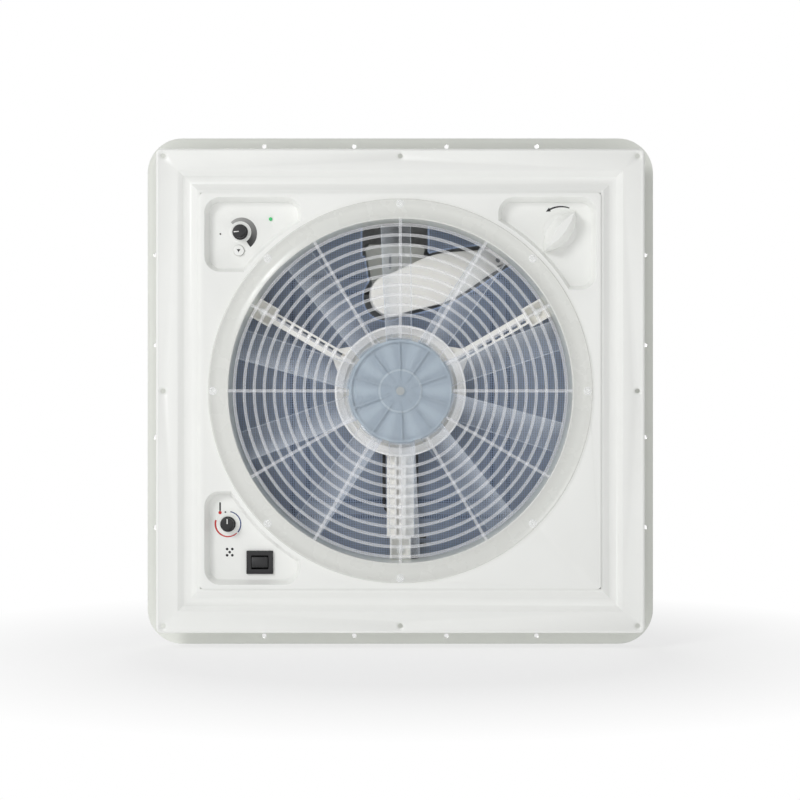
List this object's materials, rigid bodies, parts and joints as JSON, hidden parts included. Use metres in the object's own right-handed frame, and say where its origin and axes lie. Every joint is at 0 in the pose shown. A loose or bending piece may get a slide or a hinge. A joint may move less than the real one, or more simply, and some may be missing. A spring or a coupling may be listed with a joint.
{
  "type": "caravan roof vent",
  "caption": "Square roof vent for a caravan: hinged dome, bladed fan in a duct behind a round clear grille, insect net, white trim frame with knobs and a switch.",
  "frame": {"origin": "centre of the square roof cut-out at the roof's outer surface, which is the centre of the roof screw pattern", "axes": "+Z points out of the roof, +Y to the dome's hinge, +X to the side of the opening knob"},
  "size_m": [0.466, 0.466, 0.1335],
  "materials": {
    "frame_white": "smooth moulded, satin",
    "trim_white": "smooth moulded, satin",
    "dome_grey": "smoked, glossy",
    "seal_black": "matt",
    "clear_plastic": "clear, glossy",
    "blade_clear": "milky clear, glossy",
    "arm_white": "smooth moulded",
    "grey_plastic": "satin",
    "dark_grey_plastic": "satin",
    "black_plastic": "satin",
    "net_grey": "woven mesh",
    "zinc_steel": "zinc plated",
    "bronze": "sintered",
    "magnet": "dark ferrite",
    "copper": "wound core with copper commutator",
    "board_green": "laminate with solder mask",
    "lamp_green": "clear tinted",
    "tinned_brass": "tinned",
    "lead_black": "satin sheath"
  },
  "bodies": {
    "base": {"base_frame": "frame_white", "hinge_pins": "zinc_steel", "dome_seal": "seal_black", "interior_trim": "trim_white", "fan_duct": "frame_white", "duct_screws": "zinc_steel", "motor_spider": "arm_white", "spider_screws": "zinc_steel", "motor_can": "zinc_steel", "motor_cap": "dark_grey_plastic", "motor_bushes": "bronze", "motor_magnets": "magnet", "motor_screws": "zinc_steel", "net_frame": "grey_plastic", "insect_net": "net_grey", "net_clips": "grey_plastic", "grille": "clear_plastic", "grille_screws": "clear_plastic", "gearbox_body": "dark_grey_plastic", "gearbox_cover": "dark_grey_plastic", "gearbox_screws": "zinc_steel", "arm_pivot_pin": "zinc_steel", "control_board": "board_green", "board_parts": "black_plastic", "board_screws": "zinc_steel", "speed_control": "dark_grey_plastic", "thermostat_control": "dark_grey_plastic", "led_lens": "lamp_green", "switch_body": "black_plastic", "switch_terminals": "tinned_brass", "right_lead": "lead_black", "left_lead": "lead_black", "terminal_block": "black_plastic", "cable_ties": "black_plastic"},
    "dome": {"dome_shell": "dome_grey", "lift_bracket": "grey_plastic", "bracket_screws": "zinc_steel"},
    "lift_arm": {"lift_arm": "arm_white", "roller_pin": "zinc_steel"},
    "arm_roller": {"arm_roller": "black_plastic"},
    "opening_knob": {"opening_knob": "trim_white", "worm_shaft": "zinc_steel"},
    "fan": {"fan_rotor": "blade_clear", "motor_shaft": "zinc_steel", "motor_armature": "copper", "fan_clip": "grey_plastic"},
    "speed_knob": {"speed_knob": "black_plastic"},
    "thermostat_knob": {"thermostat_knob": "black_plastic"},
    "rocker": {"rocker": "black_plastic"},
    "push_button": {"push_button": "trim_white"}
  },
  "joints": [
    {"name": "dome_hinge", "type": "hinge", "parent": "base", "child": "dome", "pos_m": [0, 0.2085, 0.014], "axis": [-1, 0, 0], "range_deg": [0, 17]},
    {"name": "lift_arm_pivot", "type": "hinge", "parent": "base", "child": "lift_arm", "pos_m": [0.11721, -0.13427, 0.04], "axis": [0.3413, 0.94, 0], "range_deg": [0, 38.25]},
    {"name": "arm_roller_spin", "type": "hinge", "parent": "lift_arm", "child": "arm_roller", "pos_m": [-0.01114, -0.08767, 0.01566], "axis": [0.3413, 0.94, 0], "continuous": true},
    {"name": "opening_knob_turn", "type": "hinge", "parent": "base", "child": "opening_knob", "pos_m": [0.144, -0.144, -0.04], "axis": [0, 0, -1], "range_deg": [0, 1147.5]},
    {"name": "fan_spin", "type": "hinge", "parent": "base", "child": "fan", "pos_m": [0, 0, -0.02], "axis": [0, 0, 1], "continuous": true},
    {"name": "speed_knob_turn", "type": "hinge", "parent": "base", "child": "speed_knob", "pos_m": [-0.1446, -0.1434, -0.04], "axis": [0, 0, 1], "range_deg": [0, 240]},
    {"name": "thermostat_knob_turn", "type": "hinge", "parent": "base", "child": "thermostat_knob", "pos_m": [-0.1556, 0.1203, -0.04], "axis": [0, 0, 1], "range_deg": [0, 280]},
    {"name": "rocker_tilt", "type": "hinge", "parent": "base", "child": "rocker", "pos_m": [-0.1269, 0.1548, -0.034], "axis": [1, 0, 0], "range_deg": [0, 14]},
    {"name": "push_button_press", "type": "slide", "parent": "base", "child": "push_button", "axis": [0, 0, 1], "range_m": [0, 0.0012], "stiffness_N_per_m": 300, "springref_m": -0.0005}
  ],
  "couplings": [
    {"joint": "lift_arm_pivot", "follows": "dome_hinge", "ratio": 2.25},
    {"joint": "opening_knob_turn", "follows": "dome_hinge", "ratio": 67.5}
  ]
}
